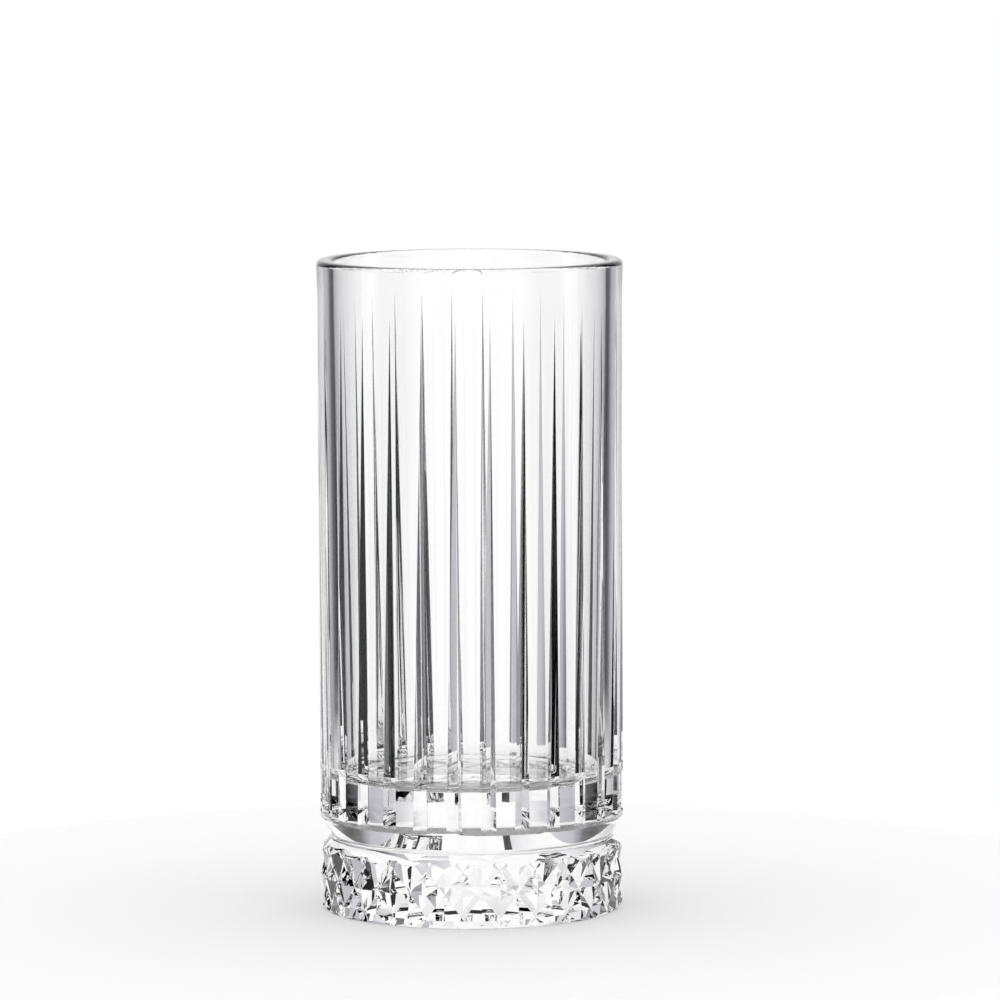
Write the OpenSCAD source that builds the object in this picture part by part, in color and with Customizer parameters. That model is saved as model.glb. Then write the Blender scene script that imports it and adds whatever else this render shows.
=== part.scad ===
// Highball glass with tapered wall cuts, a cove waist and a base ring of cut diamonds.
// Clear soda-lime glass, pressed in one piece. Millimetres, +Z up, origin at the centre
// of the circle that the glass stands on.

/* [Outside] */
// Height from the table to the lip
glass_h = 150; // [120:1:200]
// Diameter of the body and of the base ring
body_d = 70; // [60:0.5:90]
// How far the lip spreads past the body, on the radius
lip_flare = 0.3; // [0:0.05:1]
// Height over which the lip spreads
lip_flare_h = 9; // [3:0.5:20]
// Radius that rounds the two edges of the lip
lip_r = 1.2; // [0.4:0.05:1.4]

/* [Bowl] */
// Wall thickness at the lip
lip_wall = 3.7; // [3:0.1:5]
// Wall thickness at the floor of the bowl
floor_wall = 5.1; // [4:0.1:8]
// Height of the bowl's floor above the table
floor_z = 30.5; // [24:0.5:50]
// Radius between the bowl's floor and its wall
floor_r = 3; // [1:0.5:15]

/* [Waist] */
// Height of the body's lower edge above the table
waist_top_z = 21.4; // [19:0.1:22]
// Height of the narrowest place of the waist
waist_z = 17.1; // [16:0.1:18]
// Depth of the waist, on the radius
waist_depth = 2.6; // [1.5:0.05:4]
// Radius of the hollow at the narrowest place
waist_r = 1.3; // [0.5:0.05:2]
// Radius of the shoulder under the waist
shoulder_r = 3; // [1:0.1:4]

/* [Base ring] */
// Height of the ring's straight side, where its shoulder starts
ring_h = 13.6; // [12.5:0.1:14.5]
// Width and height of the bevel round the foot
foot_bevel = 1; // [0.3:0.1:1.4]
// Diameter of the hollow under the foot
punt_d = 50; // [20:1:54]
// Depth of the hollow under the foot
punt_depth = 1.6; // [0.5:0.1:4]

/* [Wall cuts] */
// Number of tapered cuts round the body
wall_cuts = 28; // [12:1:32]
// Turn from the front to the next wall cut
wall_cut_ahead = 7.5; // [0:0.1:12]
// Height where a wall cut runs out to a point
wall_cut_top_z = 139; // [80:1:139]
// Height of a wall cut's lower end, just above the body's lower edge
wall_cut_foot_z = 22.4; // [22.2:0.1:30]
// Depth of a wall cut at its lower end
wall_cut_depth = 2.5; // [0.5:0.05:2.8]
// Lean of a wall cut's wide side, from the radius through its root line
wide_side_lean = 46; // [40:1:60]
// Lean of a wall cut's steep side, from the same radius
steep_side_lean = 22; // [10:1:40]

/* [Diamonds] */
// Number of diamonds round the base ring
diamonds = 25; // [15:1:30]
// Turn from the front to the next crossing of the slanting cuts
crossing_ahead = 3.7; // [0:0.1:12]
// Height of the crossings of the slanting cuts
crossing_z = 7.5; // [7:0.1:8]
// Height from a crossing to the top of a diamond
diamond_rise = 5.8; // [5:0.1:6]
// Depth of a slanting cut at a crossing
slant_depth = 1.6; // [0.5:0.05:1.8]
// Angle between the two sides of a slanting cut
slant_angle = 140; // [130:1:160]
// Height of the small facet under each crossing
facet_h = 2.9; // [1.5:0.1:3.5]
// Lean of the small facet from the upright
facet_lean = 6; // [3:0.5:12]

/* [Hidden] */
$fn = 96;

body_r = body_d / 2;
lip_out_r = body_r + lip_flare;
bowl_top_r = lip_out_r - lip_wall;
bowl_floor_r = body_r - floor_wall;
// One overrun serves every cut that has to pass a surface
overrun = lip_wall;
// Straight pieces in a rounded corner of an outline
corner_steps = 8;
// Turn from one wall cut, and from one crossing, to the next
wall_cut_pitch = 360 / wall_cuts;
diamond_pitch = 360 / diamonds;
// The front of the glass faces -Y
front = -90;
crossing_turn = front + crossing_ahead;
wall_cut_turn = front + wall_cut_ahead;
// Fall of a wall cut's root line, from its point to its lower end
wall_cut_len = wall_cut_top_z - wall_cut_foot_z;
wall_cut_fall = atan(wall_cut_depth / wall_cut_len);
// Slope of a slanting cut against the level, with half a pitch as its run
diamond_run = body_r * sin(diamond_pitch / 2);
slant_slope = atan(diamond_rise / diamond_run);
slant_len = norm([diamond_run, diamond_rise]);
// Radius of the sphere that hollows the foot
punt_r = (pow(punt_d / 2, 2) + pow(punt_depth, 2)) / (2 * punt_depth);

// A point on the way from a to b, at a distance from a
function toward(a, b, dist) = a + (b - a) * dist / norm(b - a);

// Arc that rounds the corner b between a and c with radius r, as a list of points
function rounded(a, b, c, r) =
    let (
        u = (a - b) / norm(a - b),
        v = (c - b) / norm(c - b),
        half = acos(u * v) / 2,
        start = toward(b, a, r / tan(half)),
        middle = b + (u + v) / norm(u + v) * r / sin(half),
        spoke = start - middle,
        side = cross(u, v) > 0 ? 1 : -1,
        sweep = side * (180 - 2 * half)
    )
    [for (i = [0:corner_steps])
        let (t = -sweep * i / corner_steps)
        middle + [spoke[0] * cos(t) - spoke[1] * sin(t), spoke[0] * sin(t) + spoke[1] * cos(t)]];

// Half outline of the glass, inside and out, as radius and height
waist_low = [body_r, ring_h];
waist_deep = [body_r - waist_depth, waist_z];
waist_high = [body_r, waist_top_z];
lip_start = [body_r, glass_h - lip_flare_h];
lip_outer = [lip_out_r, glass_h];
lip_inner = [bowl_top_r, glass_h];
foot_side = [body_r, foot_bevel];
bowl_edge = [bowl_floor_r, floor_z];
bowl_middle = [0, floor_z];
outline = concat(
    [[0, 0], [body_r - foot_bevel, 0], foot_side],
    rounded(foot_side, waist_low, waist_deep, shoulder_r),
    rounded(waist_low, waist_deep, waist_high, waist_r),
    [waist_high, lip_start],
    rounded(lip_start, lip_outer, lip_inner, lip_r),
    rounded(lip_outer, lip_inner, bowl_edge, lip_r),
    rounded(lip_inner, bowl_edge, bowl_middle, floor_r),
    [bowl_middle]
);

// Groove with two flat sides, its root line along Z and its mouth towards +X. Its sides lean
// from the mouth's direction by the angles low and high, towards -Y and +Y
module groove(low, high, length) {
    linear_extrude(length)
        polygon([[0, 0], [overrun, -overrun * tan(low)], [overrun, overrun * tan(high)]]);
}

// Tapered cuts down the wall
module wall_cut_row() {
    for (i = [0:wall_cuts - 1])
        rotate(wall_cut_turn + i * wall_cut_pitch)
            translate([body_r, 0, wall_cut_top_z])
                rotate([0, wall_cut_fall, 0])
                    translate([0, 0, -wall_cut_len])
                        groove(wide_side_lean, steep_side_lean, wall_cut_len + overrun / 2);
}

// Slanting cuts of both hands, which cross at crossing_z
module slant_cut_row() {
    for (i = [0:diamonds - 1], hand = [-1, 1])
        rotate(crossing_turn + i * diamond_pitch)
            translate([body_r - slant_depth, 0, crossing_z])
                rotate([hand * (90 - slant_slope), 0, 0])
                    translate([0, 0, -slant_len - overrun / 2])
                        groove(slant_angle / 2, slant_angle / 2, 2 * slant_len + overrun);
}

// Small leaning facets at the foot, one under each crossing
module facet_row() {
    for (i = [0:diamonds - 1])
        rotate(crossing_turn + i * diamond_pitch)
            translate([body_r, 0, facet_h])
                rotate([0, facet_lean, 0])
                    translate([0, -diamond_run, -facet_h - overrun])
                        cube([overrun, 2 * diamond_run, facet_h + 2 * overrun]);
}

module tumbler() {
    color([0.86, 0.9, 0.92, 0.4])
        difference() {
            rotate_extrude() polygon(outline);
            wall_cut_row();
            slant_cut_row();
            facet_row();
            translate([0, 0, punt_depth - punt_r]) sphere(punt_r);
        }
}

tumbler();
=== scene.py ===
import math

import bpy
from bpy.props import FloatProperty, IntProperty, PointerProperty, StringProperty
from mathutils import Matrix, Vector


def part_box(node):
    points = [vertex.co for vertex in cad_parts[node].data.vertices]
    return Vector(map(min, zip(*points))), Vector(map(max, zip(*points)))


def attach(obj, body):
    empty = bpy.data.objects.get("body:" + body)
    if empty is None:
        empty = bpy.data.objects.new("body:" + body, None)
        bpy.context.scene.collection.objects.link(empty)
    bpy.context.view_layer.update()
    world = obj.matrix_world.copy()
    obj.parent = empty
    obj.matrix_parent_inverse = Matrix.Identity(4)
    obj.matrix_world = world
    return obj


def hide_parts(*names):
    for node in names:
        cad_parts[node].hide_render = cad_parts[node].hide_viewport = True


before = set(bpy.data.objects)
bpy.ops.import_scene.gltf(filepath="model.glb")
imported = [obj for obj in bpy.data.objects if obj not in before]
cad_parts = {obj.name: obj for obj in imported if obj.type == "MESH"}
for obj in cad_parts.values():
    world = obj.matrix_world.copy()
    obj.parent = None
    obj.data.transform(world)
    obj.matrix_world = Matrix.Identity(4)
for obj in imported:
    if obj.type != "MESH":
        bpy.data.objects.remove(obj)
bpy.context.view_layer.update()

bl_info = {
    "name": "Cut highball glass",
    "version": (1, 0, 0),
    "blender": (4, 5, 0),
    "location": "3D Viewport > Sidebar > Glass",
    "description": "Models a pressed highball glass with cuts and diamonds, and lights it",
    "category": "Add Mesh",
}

MM = 0.001
MERGE_DISTANCE = 0.005 * MM
GLASS_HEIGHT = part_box("tumbler")[1][2]
UP = Vector((0, 0, 1))
# Direction from the axis towards the camera, as an angle round the axis
FRONT = -math.pi / 2
# Steps in the round stretches of the outline
HOLLOW_STEPS = 8
SHOULDER_STEPS = 12
WAIST_STEPS = 16
LIP_STEPS = 12
FLOOR_STEPS = 22
# Reach of a slanting cutter from its root, in cut depths: past the surface, yet clear of the
# next cutter but one
SLANT_REACH_SHARE = 1.5
# Width of a facet cutter as a share of half a pitch's run, a hair under a whole pitch, so that
# neighbours in the ring don't touch
FACET_WIDTH_SHARE = 1.98
# Faces that meet at a smaller angle than this are shaded as one round surface
SMOOTH_ANGLE = math.radians(5)
# Sides of the round table, enough to look round from any side
TABLE_SIDES = 96
# Camera, as fitted to the rims in the photo: its place in metres, how far it looks down, aside
# and askew in degrees, and its lens and sensor in millimetres
CAMERA_PLACE = (0, -1.569, 0.260)
CAMERA_DOWN = 6.03
CAMERA_ASIDE = -0.2486
CAMERA_ASKEW = -0.21
CAMERA_LENS = 246.5
CAMERA_SENSOR = 36
# Light on the studio's walls by the angle in degrees from the middle of the backdrop, level
# with the lip and level with the foot. Towards the foot the lit backdrop narrows between dark
# cloths, and only narrow side walls and the wall behind the camera are lit
LIP_WALLS = ((0, "#FFFFFF"), (17, "#FFFFFF"), (26, "#BCBBC2"), (34, "#BCBBC2"), (38, "#08080A"),
             (50, "#08080A"), (60, "#E7E7E9"), (80, "#FFFFFF"))
FOOT_WALLS = ((0, "#FFFFFF"), (12, "#FFFFFF"), (24, "#CCCBD1"), (32, "#BCBBC2"), (38, "#59585D"),
              (44, "#08080A"), (82, "#08080A"), (84, "#FFFFFF"), (96, "#FFFFFF"), (98, "#08080A"),
              (125, "#08080A"), (140, "#FFFFFF"))
# Lower still the cloths stand in strips, with a lit wall towards every eighth of a turn
LOW_WALLS = ((0, "#FFFFFF"), (12, "#FFFFFF"), (20, "#CCCBD1"), (33, "#BCBBC2"), (36, "#FFFFFF"),
             (54, "#FFFFFF"), (57, "#08080A"), (79, "#08080A"), (81, "#FFFFFF"), (99, "#FFFFFF"),
             (101, "#08080A"), (123, "#08080A"), (126, "#FFFFFF"))


def mm_prop(name, description, default_mm):
    """A length property, given in millimetres and held in metres."""
    return FloatProperty(name=name, description=description, default=default_mm * MM,
                         unit="LENGTH", precision=5)


def angle_prop(name, description, default_deg):
    """An angle property, given in degrees."""
    return FloatProperty(name=name, description=description, default=math.radians(default_deg),
                         subtype="ANGLE")


class GlassShape(bpy.types.PropertyGroup):
    """Sizes of the glass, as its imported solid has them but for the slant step"""

    body: mm_prop("Body", "Diameter of the body and of the base ring", 70)
    flare: mm_prop("Lip flare", "How far the lip spreads past the body, on the radius", 0.3)
    flare_height: mm_prop("Flare height", "Height over which the lip spreads", 9)
    lip_round: mm_prop("Lip radius", "Radius that rounds the two edges of the lip", 1.2)
    lip_wall: mm_prop("Lip wall", "Wall thickness at the lip", 3.7)
    floor_wall: mm_prop("Floor wall", "Wall thickness at the floor of the bowl", 5.1)
    floor_height: mm_prop("Bowl floor", "Height of the bowl's floor above the table", 30.5)
    floor_round: mm_prop("Floor radius", "Radius between the bowl's floor and its wall", 3)
    waist_top: mm_prop("Waist top", "Height of the body's lower edge", 21.4)
    waist_height: mm_prop("Waist", "Height of the narrowest place of the waist", 17.1)
    waist_depth: mm_prop("Waist depth", "Depth of the waist, on the radius", 2.6)
    waist_round: mm_prop("Waist radius", "Radius of the hollow at the narrowest place", 1.3)
    shoulder_round: mm_prop("Shoulder radius", "Radius of the shoulder under the waist", 3)
    ring_height: mm_prop("Ring height", "Height of the base ring's straight side", 13.6)
    foot_bevel: mm_prop("Foot bevel", "Width and height of the bevel round the foot", 1)
    punt_diameter: mm_prop("Foot hollow", "Diameter of the hollow under the foot", 50)
    punt_depth: mm_prop("Foot hollow depth", "Depth of the hollow under the foot", 1.6)
    wall_cuts: IntProperty(name="Wall cuts", description="Number of tapered cuts round the body",
                           default=28)
    wall_cut_ahead: angle_prop("Cut place", "Angle from the front to the next wall cut", 7.5)
    wall_cut_top: mm_prop("Cut top", "Height where a wall cut runs out to a point", 139)
    wall_cut_foot: mm_prop("Cut foot", "Height of a wall cut's lower end", 22.4)
    wall_cut_depth: mm_prop("Cut depth", "Depth of a wall cut at its lower end", 2.5)
    wide_side: angle_prop("Wide side", "Lean of a wall cut's wide side from the radius", 46)
    steep_side: angle_prop("Steep side", "Lean of a wall cut's steep side from the radius", 22)
    diamonds: IntProperty(name="Diamonds", description="Number of diamonds round the base ring",
                          default=25)
    crossing_ahead: angle_prop("Crossing place", "Angle from the front to the next crossing", 3.7)
    crossing_height: mm_prop("Crossings", "Height of the crossings of the slanting cuts", 7.5)
    diamond_rise: mm_prop("Diamond rise", "Height from a crossing to the top of a diamond", 5.8)
    slant_depth: mm_prop("Slant depth", "Depth of a slanting cut at a crossing", 1.6)
    slant_step: mm_prop("Slant step", "Extra depth of one hand's cuts, too small to see", 0.01)
    slant_angle: angle_prop("Slant angle", "Angle between the two sides of a slanting cut", 140)
    facet_height: mm_prop("Facet height", "Height of the facet under each crossing", 2.9)
    facet_lean: angle_prop("Facet lean", "Lean of the facet from the upright", 6)
    overrun: mm_prop("Overrun", "How far a cutter runs past the surface that it cuts", 3.7)
    facets_round: IntProperty(name="Steps round", description="Steps round the lathe-turned body",
                              default=350)


class GlassLook(bpy.types.PropertyGroup):
    """Finish of the glass, and the colours and edges of the studio round it"""

    tint: StringProperty(name="Glass tint", description="Colour of light that has passed the glass",
                         default="#FFFFFF")
    ripple: mm_prop("Ripple", "Height of the faint ripple that pressing leaves", 0.004)
    ripple_length: mm_prop("Ripple length", "Distance between two ripples", 9)
    floor: StringProperty(name="Floor", description="Colour of the studio floor", default="#FFFFFF")
    floor_radius: mm_prop("Floor radius", "Radius of the round table that the glass stands on", 160)
    floor_drop: mm_prop("Floor drop", "Gap that parts the table's face from the foot's", 0.05)
    slit: StringProperty(name="Slit", description="Colour of the slits between the lit walls",
                         default="#505058")
    slit_from: angle_prop("Slit from", "Angle from the middle of a lit wall to a slit", 20)
    slit_top: angle_prop("Slit top", "Angle from the level up to which the slits reach", -12)
    walls_top: angle_prop("Walls' top", "Angle above the level where the walls end", 30)
    strips_from: angle_prop("Strips from", "Angle from the level where the strips start", -12)
    walls_foot: angle_prop("Walls' foot", "Angle from the level where the walls end below", -24)
    lip_top: angle_prop("Lip top", "Angle above the level where the lip's light ends", 6)
    lip_level: angle_prop("Lip level", "Angle down to which the lip's light is full", -5.2)
    foot_level: angle_prop("Foot level", "Angle from which down the foot's light is full", -7.7)
    sharp_edge: angle_prop("Sharp edge", "Half width of the cloths' level edges", 0.5)
    slit_edge: angle_prop("Slit edge", "Half width of a slit's upright edges", 1)
    lip_fade: angle_prop("Lip fade", "Width of the fade over the lip's light", 2)
    slow_fade: angle_prop("Slow fade", "Half width of the fades over the slits and the walls", 4)


def shape():
    """Sizes of the glass in the scene."""
    return bpy.context.scene.glass_shape


def look():
    """Colours and light in the scene."""
    return bpy.context.scene.glass_look


def linear(hex_colour):
    """Linear colour of an sRGB hex value."""
    parts = [int(hex_colour[i:i + 2], 16) / 255 for i in (1, 3, 5)]
    return [c / 12.92 if c <= 0.04045 else ((c + 0.055) / 1.055) ** 2.4 for c in parts] + [1.0]


def node(tree, kind, inputs=None, **settings):
    """Adds a node with its settings. An input is given a value, or what feeds it.

    A socket feeds it, or a node, which stands for the first of its outputs that is in use.
    """
    made = tree.nodes.new(kind)
    for key, value in settings.items():
        setattr(made, key, value)
    for key, value in (inputs or {}).items():
        if isinstance(value, bpy.types.Node):
            value = next(socket for socket in value.outputs if socket.enabled)
        if isinstance(value, bpy.types.NodeSocket):
            tree.links.new(value, made.inputs[key])
        else:
            made.inputs[key].default_value = value
    return made


def corner(before, at, after, radius, steps):
    """Points of the arc that rounds the corner of an outline."""
    u, v = (before - at).normalized(), (after - at).normalized()
    half = u.angle(v) / 2
    middle = at + (u + v).normalized() * radius / math.sin(half)
    spoke = at + u * radius / math.tan(half) - middle
    sweep = math.pi - 2 * half
    turn = -math.copysign(1, u.cross(v).y) * sweep
    return [middle + Matrix.Rotation(turn * i / steps, 3, "Y") @ spoke for i in range(steps + 1)]


def glass_outline():
    """Half outline of the glass from the middle of its foot to the middle of the bowl's floor."""
    s = shape()
    body = s.body / 2
    lip = body + s.flare

    def point(radius, height):
        return Vector((radius, 0, height))

    punt = s.punt_diameter / 2
    sphere = (punt ** 2 + s.punt_depth ** 2) / (2 * s.punt_depth)
    hollow = []
    for i in range(HOLLOW_STEPS + 1):
        r = punt * i / HOLLOW_STEPS
        hollow.append(point(r, s.punt_depth - sphere + math.sqrt(sphere ** 2 - r ** 2)))
    foot = point(body - s.foot_bevel, 0)
    side = point(body, s.foot_bevel)
    low = point(body, s.ring_height)
    deep = point(body - s.waist_depth, s.waist_height)
    high = point(body, s.waist_top)
    flare = point(body, GLASS_HEIGHT - s.flare_height)
    outer = point(lip, GLASS_HEIGHT)
    inner = point(lip - s.lip_wall, GLASS_HEIGHT)
    edge = point(body - s.floor_wall, s.floor_height)
    middle = point(0, s.floor_height)
    return (hollow + [foot, side]
            + corner(side, low, deep, s.shoulder_round, SHOULDER_STEPS)
            + corner(low, deep, high, s.waist_round, WAIST_STEPS)
            + [high, flare]
            + corner(flare, outer, inner, s.lip_round, LIP_STEPS)
            + corner(outer, inner, edge, s.lip_round, LIP_STEPS)
            + corner(inner, edge, middle, s.floor_round, FLOOR_STEPS)
            + [middle])


def clear_selection():
    """Leaves edit mode and deselects every object."""
    if bpy.context.object and bpy.context.object.mode != "OBJECT":
        bpy.ops.object.mode_set(mode="OBJECT")
    bpy.ops.object.select_all(action="DESELECT")


def face_outwards(obj):
    """Turns a closed piece's faces over if they point inwards, which its signed volume tells."""
    volume = 0
    for face in obj.data.polygons:
        volume += face.area * face.normal.dot(face.center)
    if volume < 0:
        bpy.ops.object.mode_set(mode="EDIT")
        bpy.ops.mesh.select_all(action="SELECT")
        bpy.ops.mesh.flip_normals()
        bpy.ops.object.mode_set(mode="OBJECT")


def lathe(name, outline, steps):
    """Turns a half outline round the upright axis into a closed body."""
    clear_selection()
    bpy.ops.mesh.primitive_plane_add(size=shape().body)
    obj = bpy.context.object
    obj.name = name
    bpy.ops.object.mode_set(mode="EDIT")
    bpy.ops.mesh.select_all(action="SELECT")
    bpy.ops.mesh.merge(type="CENTER")
    bpy.ops.transform.translate(value=outline[0])
    for a, b in zip(outline, outline[1:]):
        bpy.ops.mesh.extrude_region_move(TRANSFORM_OT_translate={"value": b - a})
    bpy.ops.mesh.select_all(action="SELECT")
    bpy.ops.mesh.spin(steps=steps, angle=2 * math.pi, center=(0, 0, 0), axis=(0, 0, 1))
    bpy.ops.mesh.select_all(action="SELECT")
    bpy.ops.mesh.remove_doubles(threshold=MERGE_DISTANCE)
    bpy.ops.mesh.normals_make_consistent(inside=False)
    bpy.ops.object.mode_set(mode="OBJECT")
    face_outwards(obj)
    return obj


def groove(name, low, high, length, reach):
    """A three-sided bar with its root line on Z, centred on the origin, its mouth towards +X.

    Its sides lean from the mouth's direction by the angles low and high, towards -Y and +Y, and
    the mouth lies at its reach from the root line.
    """
    clear_selection()
    bpy.ops.mesh.primitive_cylinder_add(vertices=3, radius=reach, depth=length)
    obj = bpy.context.object
    obj.name = name
    corners = [Vector((0, 0, 0)), Vector((reach, -reach * math.tan(low), 0)),
               Vector((reach, reach * math.tan(high), 0))]
    third = 2 * math.pi / 3
    for v in obj.data.vertices:
        nearest = round((math.atan2(v.co.x, v.co.y) % (2 * math.pi)) / third) % 3
        v.co = corners[nearest] + UP * v.co.z
    bpy.ops.object.mode_set(mode="EDIT")
    bpy.ops.mesh.select_all(action="SELECT")
    bpy.ops.mesh.normals_make_consistent(inside=False)
    bpy.ops.object.mode_set(mode="OBJECT")
    return obj


def ring_of(first, count, start, places):
    """Copies a cutter to some of the places round the upright axis and joins the copies."""
    clear_selection()
    copies = []
    for i in places:
        copy = first.copy()
        copy.data = first.data.copy()
        copy.data.transform(Matrix.Rotation(start + 2 * math.pi * i / count, 4, "Z"))
        bpy.context.collection.objects.link(copy)
        copies.append(copy)
    bpy.data.objects.remove(first)
    for copy in copies:
        copy.select_set(True)
    bpy.context.view_layer.objects.active = copies[0]
    bpy.ops.object.join()
    return bpy.context.object


def cut(body, cutter):
    """Takes a cutter out of a body and deletes the cutter."""
    clear_selection()
    body.select_set(True)
    bpy.context.view_layer.objects.active = body
    mod = body.modifiers.new("Cut", "BOOLEAN")
    mod.operation = "DIFFERENCE"
    mod.solver = "EXACT"
    mod.object = cutter
    bpy.ops.object.modifier_apply(modifier=mod.name)
    bpy.data.objects.remove(cutter)


def wall_cutters():
    """Tapered cuts, which start at a point under the lip and end over the waist."""
    s = shape()
    run = s.wall_cut_top - s.wall_cut_foot
    fall = math.atan(s.wall_cut_depth / run)
    bar = groove("Wall cutter", s.wide_side, s.steep_side, run + s.overrun / 2, s.overrun)
    bar.data.transform(Matrix.Translation(UP * (s.overrun / 2 - run) / 2))
    bar.data.transform(Matrix.Rotation(fall, 4, "Y"))
    bar.data.transform(Matrix.Translation((s.body / 2, 0, s.wall_cut_top)))
    return ring_of(bar, s.wall_cuts, FRONT + s.wall_cut_ahead, range(s.wall_cuts))


def slant_cutters(hand, places):
    """Slanting cuts of one hand, at some of the crossings round the base ring."""
    s = shape()
    run = s.body / 2 * math.sin(math.pi / s.diamonds)
    slope = math.atan2(s.diamond_rise, run)
    length = 2 * math.hypot(run, s.diamond_rise) + s.overrun
    half = s.slant_angle / 2
    # One hand's root lines pass just under the other's, so that no two faces touch in a point
    root = s.body / 2 - s.slant_depth - hand * s.slant_step / 2
    bar = groove("Slant cutter", half, half, length, SLANT_REACH_SHARE * s.slant_depth)
    bar.data.transform(Matrix.Rotation(hand * (math.pi / 2 - slope), 4, "X"))
    bar.data.transform(Matrix.Translation((root, 0, s.crossing_height)))
    return ring_of(bar, s.diamonds, FRONT + s.crossing_ahead, places)


def facet_cutters():
    """Blocks that leave a small leaning facet under each crossing."""
    s = shape()
    run = s.body / 2 * math.sin(math.pi / s.diamonds)
    clear_selection()
    bpy.ops.mesh.primitive_cube_add(size=1)
    block = bpy.context.object
    height = s.facet_height + 2 * s.overrun
    width = FACET_WIDTH_SHARE * run
    block.data.transform(Matrix.Diagonal((s.overrun, width, height, 1)))
    block.data.transform(Matrix.Translation((s.overrun / 2, 0, s.overrun - height / 2)))
    block.data.transform(Matrix.Rotation(s.facet_lean, 4, "Y"))
    block.data.transform(Matrix.Translation((s.body / 2, 0, s.facet_height)))
    return ring_of(block, s.diamonds, FRONT + s.crossing_ahead, range(s.diamonds))


def clear_glass():
    """Soda-lime glass, pressed in a mould and fire-polished."""
    # Fire-polishing melts the skin smooth, so the eye gets clear depth and crisp, bright edges.
    # Pressing leaves a faint ripple, so that what is seen through the wall wavers a little
    mat = bpy.data.materials.new("Soda-lime glass, pressed and fire-polished")
    mat.use_nodes = True
    tree = mat.node_tree
    tree.nodes.clear()
    place = node(tree, "ShaderNodeTexCoord")
    waves = node(tree, "ShaderNodeTexNoise", {
        "Vector": place.outputs["Object"], "Scale": 1 / look().ripple_length, "Detail": 1.0})
    ripple = node(tree, "ShaderNodeBump", {
        "Height": waves, "Distance": look().ripple, "Strength": 1.0})
    glass = node(tree, "ShaderNodeBsdfPrincipled", {
        "Base Color": linear(look().tint),
        "Roughness": 0.0,
        "IOR": 1.52,
        "Transmission Weight": 1.0,
        "Normal": ripple,
    })
    node(tree, "ShaderNodeOutputMaterial", {"Surface": glass})
    return mat


class GLASS_OT_tumbler(bpy.types.Operator):
    """Turn the body, press the wall cuts and the diamonds into it and give it its glass"""

    bl_idname = "glass.tumbler"
    bl_label = "Highball glass"

    def execute(self, context):
        body = lathe("Highball_glass", glass_outline(), shape().facets_round)
        cut(body, wall_cutters())
        # Neighbours in a ring of slanting cutters overlap, so they cut in turns
        last = shape().diamonds - 1
        for hand in (1, -1):
            for places in (range(0, last, 2), range(1, last, 2), [last]):
                cut(body, slant_cutters(hand, places))
        cut(body, facet_cutters())
        clear_selection()
        body.select_set(True)
        context.view_layer.objects.active = body
        bpy.ops.object.shade_smooth_by_angle(angle=SMOOTH_ANGLE)
        body.data.materials.clear()
        body.data.materials.append(clear_glass())
        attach(body, "root")
        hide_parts("tumbler")
        return {"FINISHED"}


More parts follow.
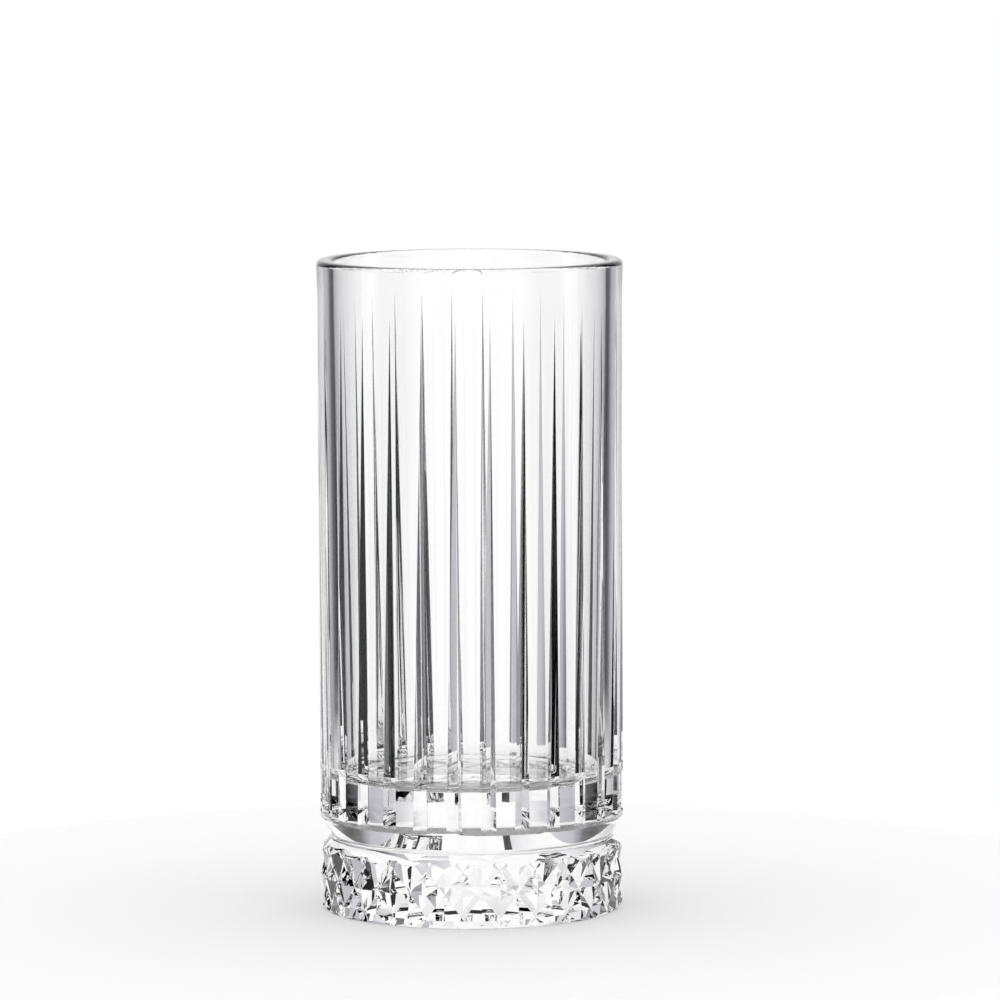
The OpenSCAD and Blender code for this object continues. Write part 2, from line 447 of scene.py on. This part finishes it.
def studio_world():
    """White studio. Its dark cloths and slits give the clear glass its edges."""
    world = bpy.data.worlds.new("White studio with dark cloths")
    bpy.context.scene.world = world
    world.use_nodes = True
    tree = world.node_tree
    tree.nodes.clear()
    v = look()
    white = linear("#FFFFFF")
    way = node(tree, "ShaderNodeTexCoord")
    axes = node(tree, "ShaderNodeSeparateXYZ", {0: way.outputs["Generated"]})
    height = node(tree, "ShaderNodeMath", {0: axes.outputs["Z"]}, operation="ARCSINE")
    # Turn from the middle of the backdrop, and the same without its sign
    turn = node(tree, "ShaderNodeMath", {0: axes.outputs["X"], 1: axes.outputs["Y"]},
                operation="ARCTAN2")
    off = node(tree, "ShaderNodeMath", {0: turn}, operation="ABSOLUTE")
    part = node(tree, "ShaderNodeMath", {0: off, 1: math.pi}, operation="DIVIDE")
    # The same again for each eighth of a turn, from the middle of that eighth
    eighth = node(tree, "ShaderNodeMath", {0: turn, 1: math.pi / 8}, operation="PINGPONG")

    ramps = []
    for table in (LIP_WALLS, FOOT_WALLS, LOW_WALLS):
        ramp = node(tree, "ShaderNodeValToRGB", {0: part})
        stops = ramp.color_ramp.elements
        stops.remove(stops[-1])
        stops[0].color = linear(table[0][1])
        for degrees, colour in table[1:]:
            stops.new(math.radians(degrees) / math.pi).color = linear(colour)
        ramps.append(ramp)
    lip_walls, foot_walls, low_walls = ramps

    # Each soft edge: the angle that it goes by, where it starts and where it is full
    edges = {
        "over the foot": (height, v.foot_level, v.lip_level),
        "under the lip's top": (height, v.lip_top + v.lip_fade, v.lip_top),
        "in the strips": (height, v.strips_from + v.sharp_edge, v.strips_from - v.sharp_edge),
        "under the slits' top": (height, v.slit_top + v.slow_fade, v.slit_top - v.slow_fade),
        "in a slit": (eighth, v.slit_from - v.slit_edge, v.slit_from + v.slit_edge),
        "over the walls' foot": (height, v.walls_foot - v.sharp_edge,
                                 v.walls_foot + v.sharp_edge),
        "under the walls' top": (height, v.walls_top + v.slow_fade, v.walls_top - v.slow_fade),
    }
    step = {}
    for name, (angle, start, full) in edges.items():
        step[name] = node(tree, "ShaderNodeMapRange",
                          {"Value": angle, "From Min": start, "From Max": full},
                          interpolation_type="SMOOTHSTEP")
    near_lip = node(tree, "ShaderNodeMath",
                    {0: step["over the foot"], 1: step["under the lip's top"]},
                    operation="MULTIPLY")
    slit = node(tree, "ShaderNodeMath",
                {0: step["under the slits' top"], 1: step["in a slit"]},
                operation="MULTIPLY")
    band = node(tree, "ShaderNodeMath",
                {0: step["over the walls' foot"], 1: step["under the walls' top"]},
                operation="MULTIPLY")

    # Walls at the height that the camera looks through the glass
    lower = node(tree, "ShaderNodeMix",
                 {"Factor": step["in the strips"], "A": foot_walls, "B": low_walls},
                 data_type="RGBA")
    lit = node(tree, "ShaderNodeMix", {"Factor": near_lip, "A": lower, "B": lip_walls},
               data_type="RGBA")
    # Everywhere else: eight narrow slits, the same from every side
    slits = node(tree, "ShaderNodeMix", {"Factor": slit, "A": white, "B": linear(v.slit)},
                 data_type="RGBA")
    studio = node(tree, "ShaderNodeMix", {"Factor": band, "A": slits, "B": lit},
                  data_type="RGBA")
    # Only what is seen in and through the glass is the studio. The background stays white
    paths = node(tree, "ShaderNodeLightPath")
    seen = node(tree, "ShaderNodeMath",
                {0: paths.outputs["Is Glossy Ray"], 1: paths.outputs["Is Transmission Ray"]},
                operation="MAXIMUM")
    value = node(tree, "ShaderNodeMix", {"Factor": seen, "A": white, "B": studio},
                 data_type="RGBA")
    back = node(tree, "ShaderNodeBackground", {"Color": value, "Strength": 1.0})
    node(tree, "ShaderNodeOutputWorld", {"Surface": back})


def floor_paper():
    """Studio paper, calendered and left matt."""
    # Matt paper has no gloss, so the eye gets an even white with only the glass's shadow
    mat = bpy.data.materials.new("Studio paper, matt white")
    mat.use_nodes = True
    tree = mat.node_tree
    tree.nodes.clear()
    paper = node(tree, "ShaderNodeBsdfDiffuse", {"Color": linear(look().floor)})
    node(tree, "ShaderNodeOutputMaterial", {"Surface": paper})
    return mat


class GLASS_OT_stage(bpy.types.Operator):
    """Set the floor, the studio light and the camera"""

    bl_idname = "glass.stage"
    bl_label = "Studio"

    def execute(self, context):
        studio_world()
        clear_selection()
        bpy.ops.mesh.primitive_circle_add(vertices=TABLE_SIDES, radius=look().floor_radius,
                                          fill_type="NGON", location=-UP * look().floor_drop)
        floor = context.object
        floor.name = "Studio_floor"
        floor.data.materials.append(floor_paper())
        cam_data = bpy.data.cameras.new("Camera")
        cam = bpy.data.objects.new("Camera", cam_data)
        context.collection.objects.link(cam)
        cam_data.lens = CAMERA_LENS
        cam_data.sensor_width = CAMERA_SENSOR
        cam.location = CAMERA_PLACE
        # An unturned camera looks straight down
        aside = Matrix.Rotation(math.radians(CAMERA_ASIDE), 4, "Z")
        down = Matrix.Rotation(math.pi / 2 - math.radians(CAMERA_DOWN), 4, "X")
        askew = Matrix.Rotation(math.radians(CAMERA_ASKEW), 4, "Z")
        cam.rotation_euler = (aside @ down @ askew).to_euler()
        context.scene.camera = cam
        context.scene.view_settings.view_transform = "Standard"
        return {"FINISHED"}


class GLASS_PT_panel(bpy.types.Panel):
    """The glass tools in the sidebar"""

    bl_label = "Cut highball glass"
    bl_idname = "GLASS_PT_panel"
    bl_space_type = "VIEW_3D"
    bl_region_type = "UI"
    bl_category = "Glass"

    def draw(self, context):
        column = self.layout.column()
        for step in STEPS:
            column.operator(step.bl_idname)
        for group in (context.scene.glass_shape, context.scene.glass_look):
            for key in group.bl_rna.properties.keys():
                if key not in ("rna_type", "name"):
                    column.prop(group, key)


STEPS = (GLASS_OT_tumbler, GLASS_OT_stage)
CLASSES = (GlassShape, GlassLook, *STEPS, GLASS_PT_panel)


def register():
    for cls in CLASSES:
        bpy.utils.register_class(cls)
    bpy.types.Scene.glass_shape = PointerProperty(type=GlassShape)
    bpy.types.Scene.glass_look = PointerProperty(type=GlassLook)


def unregister():
    del bpy.types.Scene.glass_look
    del bpy.types.Scene.glass_shape
    for cls in reversed(CLASSES):
        bpy.utils.unregister_class(cls)


def main():
    """Makes the glass and its studio."""
    register()
    bpy.ops.glass.tumbler()
    bpy.ops.glass.stage()


if __name__ == "__main__":
    main()
